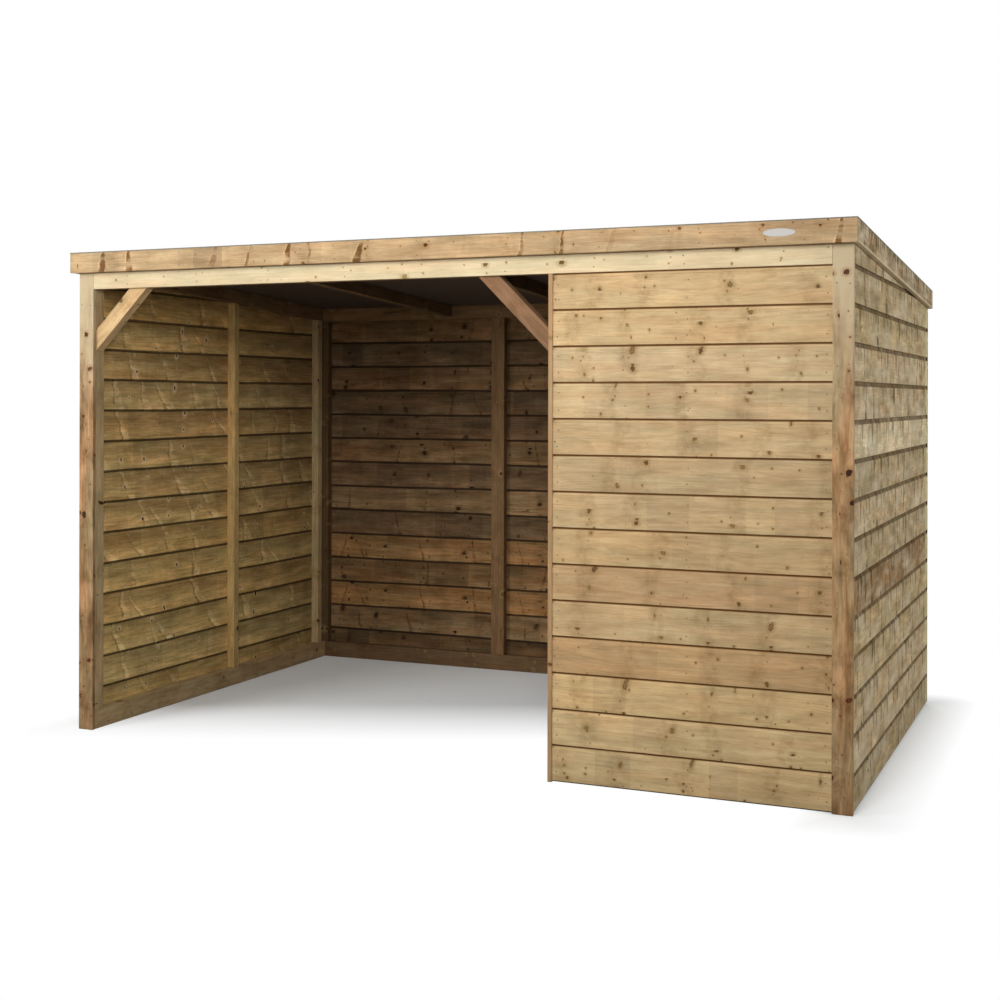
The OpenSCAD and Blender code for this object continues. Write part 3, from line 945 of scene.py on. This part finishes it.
def board(pitch, start, along, inward, length, top, seams, heart_range, rng, tone):
    """One coved board whose edges wander with its two seams, cut off under the roof"""
    bm = bmesh.new()
    place, log, colour, rise = add_layers(bm)
    log_at = (0, rng.uniform(-0.05, 0.05), rng.uniform(*heart_range))
    log_start = rng.uniform(0, LOGS_LENGTH)
    tint = varied(TONES[tone], rng)
    bow = rng.uniform(0, BOARD_BOW)
    section = board_section(pitch)
    stations = max(2, round(length / STATION_GAP)) + 1
    loops = []
    for k in range(stations):
        run = length * k / (stations - 1)
        depth = bow * (1 + math.sin(2.5 * run + 60 * log_at[1])) / 2
        loop = []
        for t, z in section:
            straight, sawn = seams[0] if z < pitch / 2 else seams[1]
            lift = sawn(run) if z > pitch or abs(z - LAP) < 2 * MM else straight(run)
            inset = depth if t < COVE_D else 0
            vert = bm.verts.new(start + along * run + inward * (t + inset) + UP * (z + lift))
            vert[place] = (run + log_start, z - pitch / 2, t)
            vert[log] = log_at
            vert[colour] = tint
            vert[rise] = z / pitch
            loop.append(vert)
        loops.append(loop)
    for first, second in zip(loops, loops[1:]):
        # The saw has left everything from the tongue's top edge round to the rebate
        for face in skin(bm, first, second)[COVE_STEPS + 3 : -1]:
            face.material_index = 1
    for loop in (loops[0], loops[-1]):
        bm.faces.new(loop).material_index = 2
    top_point, top_normal = top
    bmesh.ops.bisect_plane(
        bm,
        geom=bm.verts[:] + bm.edges[:] + bm.faces[:],
        plane_co=top_point,
        plane_no=top_normal,
        clear_outer=True,
    )
    open_edges = [edge for edge in bm.edges if edge.is_boundary]
    if open_edges:
        bmesh.ops.holes_fill(bm, edges=open_edges, sides=0)
    bmesh.ops.recalc_face_normals(bm, faces=bm.faces)
    return bm


def board_wall(node, along, inward, pitch, tones, hearts, finishes, top, seed):
    """All boards of a wall, from the lowest up, as one piece in place of its node"""
    rng = random.Random(seed)
    wall = bmesh.new()
    add_layers(wall)
    foot, size = face_corner(node, -inward, at_top=False)
    length = size.dot(along)
    # The foot of the wall is cut straight, and each seam above it wanders: (outside, inside)
    seams = [(lambda run: 0, lambda run: 0)]
    seams += [(wander_of(rng, FACE_WANDER), wander_of(rng, SAWN_WANDER)) for _ in tones]
    for number, tone in enumerate(tones):
        start = foot + UP * number * pitch
        around = seams[number : number + 2]
        made = board(pitch, start, along, inward, length, top, around, rng.choice(hearts), rng, tone)
        if made.faces:
            part = bpy.data.meshes.new("board")
            made.to_mesh(part)
            wall.from_mesh(part)
            bpy.data.meshes.remove(part)
        made.free()
    make_piece(wall, node.replace("cladding", "boards"), finishes, node)


# Where the heart of the log lies behind a board's face, or before it. Far off, the board is flat
# sawn and its knots are round. Close by, the branches run in its face and show along their length
FLAT_SAWN = [(-0.08, -0.035), (0.05, 0.095)]
BOXED_HEART = [(0.0, 0.03)]

# From the lowest board up
FRONT_TONES = "straw straw straw fawn sand fawn sand sand sand hay hay hay hay hay".split()
LEFT_TONES = (
    "fern fern fern gorse fern gorse moss moss moss amber moss amber gorse gorse moss"
).split()
RIGHT_TONES = (
    "dove silver silver dove dove rust dove silver dove linen silver silver dove dove dove"
).split()
BACK_TONES = (
    "umber walnut sorrel brown sorrel umber walnut umber brown umber umber brown umber brown brown"
).split()

# Each wall's run, the way into the shelter, its boards and the uprights that they are nailed to
WALLS = {
    "front_panel": (
        (RIGHT, BACK, BOARD_PITCH, FRONT_TONES, FLAT_SAWN, [planed_board, sawn_board]),
        ["panel_left_stud", "panel_middle_stud", "panel_right_stud"],
    ),
    "left_wall": (
        (BACK, RIGHT, BOARD_PITCH, LEFT_TONES, FLAT_SAWN, [bleached_board, sawn_board]),
        ["left_front_post", "left_middle_stud", "left_back_stud"],
    ),
    "right_wall": (
        (BACK, -RIGHT, BOARD_PITCH, RIGHT_TONES, BOXED_HEART, [weathered_board, sawn_board]),
        ["right_front_post", "right_middle_stud", "right_back_stud"],
    ),
    "back_wall": (
        (RIGHT, -BACK, BACK_BOARD_PITCH, BACK_TONES, FLAT_SAWN, [bleached_board, dark_sawn_board]),
        ["back_left_stud", "back_middle_left_stud", "back_middle_right_stud", "back_right_stud"],
    ),
}
for seed, (wall, ((*laid, finishes), _)) in enumerate(WALLS.items()):
    # The panel stops under the lintel board, and the other walls are cut along the roof deck
    panel_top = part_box("front_panel_cladding")[1]
    top = (panel_top, UP) if wall == "front_panel" else (eaves_point, roof_normal)
    board_wall(wall + "_cladding", *laid, [*finishes, end_grain], top, BOARD_SEED + seed)


# ---- Frame and trim ----

for seed, (name, along, across, tone) in enumerate(
    [
        ("left_sole_plate", BACK, UP, "hay"),
        ("right_sole_plate", BACK, UP, "olive"),
        ("back_sole_plate", RIGHT, UP, "umber"),
        ("panel_sole_plate", RIGHT, UP, "olive"),
        ("left_front_post", UP, BACK, "sand"),
        ("left_middle_stud", UP, BACK, "moss"),
        ("left_back_stud", UP, BACK, "dove"),
        ("right_front_post", UP, BACK, "tan"),
        ("right_middle_stud", UP, BACK, "tan"),
        ("right_back_stud", UP, BACK, "olive"),
        ("back_left_stud", UP, RIGHT, "char"),
        ("back_middle_left_stud", UP, RIGHT, "brown"),
        ("back_middle_right_stud", UP, RIGHT, "umber"),
        ("back_right_stud", UP, RIGHT, "umber"),
        ("panel_left_stud", UP, RIGHT, "tan"),
        ("panel_middle_stud", UP, RIGHT, "tan"),
        ("panel_right_stud", UP, RIGHT, "tan"),
        ("left_top_rail", down_slope, roof_normal, "brown"),
        ("right_top_rail", down_slope, roof_normal, "umber"),
        ("back_top_rail", RIGHT, UP, "brown"),
        ("front_header", RIGHT, UP, "umber"),
        ("left_rafter", down_slope, roof_normal, "umber"),
        ("middle_rafter", down_slope, roof_normal, "umber"),
        ("right_rafter", down_slope, roof_normal, "umber"),
        ("fascia_rail", RIGHT, UP, "umber"),
        ("left_brace", (1, 0, 1), (-1, 0, 1), "pale_rose"),
        ("right_brace", (-1, 0, 1), (1, 0, 1), "cocoa"),
    ]
):
    timber(name, along, across, tone, framing, FRAME_SEED + seed)

for seed, (name, along, across, tone, finish) in enumerate(
    [
        ("left_cover_trim", UP, RIGHT, "cone", trim_board),
        ("right_cover_trim", UP, RIGHT, "pine", trim_board),
        ("front_fascia", RIGHT, UP, "honey", fascia_board),
        ("back_fascia", RIGHT, UP, "tan", fascia_board),
        ("left_barge_board", down_slope, roof_normal, "clay", barge_board),
        ("right_barge_board", down_slope, roof_normal, "clay", barge_board),
    ]
):
    heart = HEART_BEHIND if finish == trim_board else HEART_INSIDE
    timber(name, along, across, tone, finish, TRIM_SEED + seed, heart)

timber("lintel_board", RIGHT, UP, "cream", pale_trim, LINTEL_SEED)
timber("panel_edge_trim", UP, BACK, "pine", pale_trim, EDGE_TRIM_SEED)


# ---- Roof and plate ----


# The deck's node already has the right shape and only needs its finish
nodes["roof_deck"].data.materials.clear()
nodes["roof_deck"].data.materials.append(deck_board)


def extrusion(name, start, along, length, first, second, section, finish, *replaced):
    """A section, given as distances along two directions, drawn out along a third"""
    bm = bmesh.new()
    loops = []
    for run in (0, length):
        at = start + along * run
        loops.append([bm.verts.new(at + first * a + second * b) for a, b in section])
    skin(bm, *loops)
    bm.faces.new(loops[0])
    bm.faces.new(loops[1])
    bmesh.ops.triangulate(bm, faces=bm.faces[:])
    bmesh.ops.recalc_face_normals(bm, faces=bm.faces)
    return make_piece(bm, name, [finish], *replaced)


def lay_felt():
    """Three sheets across the roof, each lapping the next one down, with its edge turned over"""
    start, size = face_corner("roof_felt", UP)
    length = size.y / down_slope.y
    sheet = length / FELT_SHEETS
    top = []
    for k in range(FELT_SHEETS):
        last = k == FELT_SHEETS - 1
        top += [(k * sheet, 0), ((k + 1) * sheet, 0 if last else FELT_LAP_H)]
    section = [*top, (length, -FELT_T), (0, -FELT_T)]
    across_slope = (start, RIGHT, size.x, down_slope, roof_normal)
    extrusion("felt_sheets", *across_slope, section, felt_grit, "roof_felt")
    # Turned over the tops of the fascias and barge boards and a little way down their faces
    cap = [
        (FELT_EDGE_T, -FELT_TURN),
        (FELT_EDGE_T, FELT_EDGE_T),
        (-FASCIA_T, FELT_EDGE_T),
        (-FASCIA_T, 0),
        (0, 0),
        (0, -FELT_TURN),
    ]
    for name, outward, along, upward in (
        ("front_fascia", -BACK, RIGHT, UP),
        ("back_fascia", BACK, RIGHT, UP),
        ("left_barge_board", -RIGHT, down_slope, roof_normal),
        ("right_barge_board", RIGHT, down_slope, roof_normal),
    ):
        start, size = face_corner(name, outward)
        length = size.x if along == RIGHT else size.y / down_slope.y
        edge = extrusion(name + "_felt_edge", start, along, length, outward, upward, cap, felt_grit)


def oval_plate():
    """A bare oval plate with a raised rim, in place of its node"""
    low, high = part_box("name_plate")
    middle = (low + high) / 2
    half_l, half_h = (high.x - low.x) / 2, (high.z - low.z) / 2
    bm = bmesh.new()
    loops = []
    for inset, proud in PLATE_RINGS:
        turns = [2 * math.pi * k / PLATE_SIDES for k in range(PLATE_SIDES)]
        loop = []
        for turn in turns:
            x = (half_l - inset) * math.cos(turn)
            z = (half_h - inset) * math.sin(turn)
            loop.append(bm.verts.new((middle.x + x, high.y - proud, middle.z + z)))
        loops.append(loop)
    for first, second in zip(loops, loops[1:]):
        skin(bm, first, second)
    bm.faces.new(loops[0])
    bm.faces.new(loops[-1])
    bmesh.ops.recalc_face_normals(bm, faces=bm.faces)
    make_piece(bm, "oval_plate", [plate_metal], "name_plate")


lay_felt()
oval_plate()


# ---- Nails ----


def nail_heads(name, spots, outward, radius=NAIL_R):
    """Round nail heads, each a low dome that stands a little proud, as one piece"""
    across = outward.orthogonal().normalized()
    upward = outward.cross(across)
    bm = bmesh.new()
    turns = [2 * math.pi * k / NAIL_SIDES for k in range(NAIL_SIDES)]
    for spot in spots:
        rim = []
        foot = []
        for turn in turns:
            arm = (across * math.cos(turn) + upward * math.sin(turn)) * radius
            rim.append(bm.verts.new(spot + arm + outward * NAIL_PROUD / 3))
            foot.append(bm.verts.new(spot + arm - outward * NAIL_DEPTH))
        crown = bm.verts.new(spot + outward * NAIL_PROUD)
        for edge in zip(rim, rim[1:] + rim[:1]):
            bm.faces.new((crown, *edge))
        skin(bm, rim, foot)
        bm.faces.new(foot)
    bmesh.ops.recalc_face_normals(bm, faces=bm.faces)
    make_piece(bm, name, [nail_steel])


def wall_nails(name, node, along, inward, pitch, count, supports, seed):
    """Two nails through each board into each upright behind it, where the roof leaves room"""
    rng = random.Random(seed)
    foot, _ = face_corner(node, -inward, at_top=False)
    spots = []
    for support in supports:
        low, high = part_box(support)
        run = ((low + high) / 2 - foot).dot(along)
        for number in range(count):
            for lift in (BOARD_NAIL_LOW, BOARD_NAIL_HIGH):
                spot = foot + along * (run + rng.uniform(-1, 1) * NAIL_STRAY)
                spot += UP * (number * pitch + lift + rng.uniform(-1, 1) * NAIL_STRAY)
                under_roof = (spot - eaves_point).dot(roof_normal) < -NAIL_CLEAR
                if under_roof and spot.z < high.z:
                    spots.append(spot)
    nail_heads(name, spots, -inward)


def trim_nails(name, start, along, length, down, outward, drops, gap, seed, radius=NAIL_R):
    """Rows of nails along a board, counted down from its upper edge"""
    rng = random.Random(seed)
    count = max(2, round(length / gap))
    spots = []
    for k in range(count):
        run = length * (k + 0.5) / count
        for drop in drops:
            spot = start + along * (run + rng.uniform(-1, 1) * 2 * NAIL_STRAY)
            spots.append(spot + down * (drop + rng.uniform(-1, 1) * NAIL_STRAY))
    nail_heads(name, spots, outward, radius)


for seed, (wall, ((along, inward, pitch, tones, _, _), supports)) in enumerate(WALLS.items()):
    name = "panel_board_nails" if wall == "front_panel" else wall + "_nails"
    nailing = (along, inward, pitch, len(tones), supports)
    wall_nails(name, wall + "_cladding", *nailing, WALL_NAIL_SEED + seed)
nailed = ["left_cover_trim", "right_cover_trim", "lintel_board", "front_fascia", "back_fascia"]
for seed, name in enumerate(nailed):
    outward = BACK if name == "back_fascia" else -BACK
    start, size = face_corner(name, outward)
    if size.z > size.x:
        way = (-UP, size.z, RIGHT, outward, [EDGE_NAIL, size.x - EDGE_NAIL], TRIM_NAIL_GAP)
    else:
        way = (RIGHT, size.x, -UP, outward, [EDGE_NAIL, size.z - EDGE_NAIL], FASCIA_NAIL_GAP)
    trim_nails(name + "_nails", start, *way, TRIM_NAIL_SEED + seed)
for seed, (side, outward) in enumerate([("left", -RIGHT), ("right", RIGHT)]):
    name = side + "_barge_board"
    start, size = face_corner(name, outward)
    length = size.y / down_slope.y
    drops = [EDGE_NAIL, BARGE_NAIL]
    way = (down_slope, length, -UP, outward, drops, BARGE_NAIL_GAP)
    trim_nails(name + "_nails", start, *way, BARGE_NAIL_SEED + seed)
start, size = face_corner("roof_felt", UP)
sheet = size.y / down_slope.y / FELT_SHEETS
drops = [sheet * k - CLOUT_INSET for k in range(1, FELT_SHEETS)]
way = (RIGHT, size.x, down_slope, roof_normal, drops, CLOUT_GAP)
trim_nails("felt_clout_nails", start + roof_normal * FELT_LAP_H, *way, CLOUT_SEED, CLOUT_R)


# ---- Stage ----


def seen_ray(tree):
    """1 for rays that the camera sends, straight or by way of a mirror or glass, and 0 for the rest"""
    path = add(tree, "LightPath").node
    kinds = [path.outputs[kind] for kind in ("Is Camera Ray", "Is Glossy Ray", "Is Transmission Ray")]
    seen = add(tree, "Math MAXIMUM", kinds[:2])
    return add(tree, "Math MAXIMUM", [seen, kinds[2]])


def pale_floor():
    """A wide matt floor. The camera and mirrors see white paper, and it throws light back under the
    roof's edges, but little in the shade of the walls"""
    material, t = new_material("pale_studio_floor")
    seen = seen_ray(t)
    low, high = cad_box
    place = add(t, "NewGeometry", out="Position")
    off = add(t, "VectorMath SUBTRACT", [place, (low + high) / 2])
    off = add(t, "VectorMath ABSOLUTE", [off])
    off = add(t, "VectorMath SUBTRACT", [off, (high - low) / 2])
    sides = add(t, "SeparateXYZ", [off]).node
    inside = add(t, "Math MAXIMUM", [sides.outputs[0], sides.outputs[1]])
    inside = add(t, "Math MINIMUM", [inside, 0.0])
    off = add(t, "VectorMath MAXIMUM", [off, (0, 0, 0)])
    off = add(t, "VectorMath MULTIPLY", [off, (1, 1, 0)])
    outside = add(t, "VectorMath LENGTH", [off], out="Value")
    away = add(t, "Math ADD", [outside, inside])
    # The paper is burnt out to plain white away from the walls and along the front of the bay
    burnt_out = add(t, "MapRange", [away, -0.09, 0.22, 0.06, 1.0])
    depth = add(t, "VectorMath DOT_PRODUCT", [place, BAY_SHADE], out="Value")
    front = add(t, "MapRange", [depth, 0.32, -0.5, 0.0, 1.0])
    # The panel hides where that ends, short of the right wall
    ground_x = add(t, "SeparateXYZ", [place])
    beside = add(t, "MapRange", [ground_x, high.x - 0.22, high.x - 0.04, 1.0, 0.0])
    front = add(t, "Math MULTIPLY", [front, beside])
    burnt_out = add(t, "Math MAXIMUM", [burnt_out, front])
    burnt_out = add(t, "Math MULTIPLY", [burnt_out, seen])
    bounce = add(t, "MapRange", [away, 0.0, 0.3, 0.12, 0.5], **SOFT_STEP)
    bounce = add(t, "CombineXYZ", [bounce, bounce, bounce])
    shade = add(t, "Mix", {0: seen, 6: bounce, 7: (0.95, 0.98, 0.99, 1)}, **MIX_COLOURS)
    paper = add(t, "BsdfDiffuse", {"Color": shade})
    white = add(t, "Emission", {"Color": (1, 1, 1, 1), "Strength": 1.0})
    surface = add(t, "MixShader", [burnt_out, paper, white])
    add(t, "OutputMaterial", {"Surface": surface})
    mesh = bpy.data.meshes.new("studio_floor")
    corners = [(-1, -1), (1, -1), (1, 1), (-1, 1)]
    spots = [(x * FLOOR_HALF, y * FLOOR_HALF, -FLOOR_DROP) for x, y in corners]
    mesh.from_pydata(spots, [], [(0, 1, 2, 3)])
    mesh.materials.append(material)
    floor = bpy.data.objects.new("studio_floor", mesh)
    bpy.context.scene.collection.objects.link(floor)
    floor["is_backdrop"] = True


def studio_world():
    """White where it is seen, mirrored or looked through, and a low even light elsewhere"""
    world = bpy.data.worlds.new("studio_world")
    bpy.context.scene.world = world
    world.use_nodes = True
    t = world.node_tree
    t.nodes.clear()
    strength = add(t, "MapRange", [seen_ray(t), 0.0, 1.0, 0.11, 1.0])
    light = add(t, "Background", {"Color": (1, 1, 1, 1), "Strength": strength})
    add(t, "OutputWorld", {"Surface": light})


def soft_box(name, at, target, width, height, power):
    """A large soft lamp that points at a target"""
    data = bpy.data.lights.new(name, "AREA")
    data.shape = "RECTANGLE"
    data.size, data.size_y, data.energy = width, height, power
    lamp = bpy.data.objects.new(name, data)
    bpy.context.scene.collection.objects.link(lamp)
    lamp.location = at
    lamp.rotation_euler = (Vector(target) - Vector(at)).to_track_quat("-Z", "Y").to_euler()


pale_floor()
studio_world()
soft_box("key_soft_box", (-4.5, -6.5, 4.5), (0, 0, 1.0), 4.0, 3.0, 92)
soft_box("front_soft_box", (0.5, -8.0, 4.5), (0, 0, 1.0), 5.0, 3.0, 47)
soft_box("right_soft_box", (8.5, 0.0, 3.5), (1.8, 0, 1.0), 4.0, 3.0, 275)
soft_box("left_soft_box", (-8.5, 1.0, 3.5), (-1.8, 0, 1.0), 4.0, 3.0, 180)
soft_box("back_soft_box", (-1.5, 8.0, 4.0), (0, 0, 1.0), 5.0, 3.0, 220)
soft_box("bay_soft_box", (1.2, -4.0, 2.6), (-1.8, -0.4, 1.0), 1.5, 1.5, 90)
soft_box("bay_left_soft_box", (-3.0, -4.2, 2.2), (0.6, 1.0, 1.0), 1.5, 1.5, 86)
bpy.context.scene.view_settings.view_transform = "Standard"


boxes = {"cad": cad_box, "visual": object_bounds()}
boxes = {name: [list(corner) for corner in box] for name, box in boxes.items()}
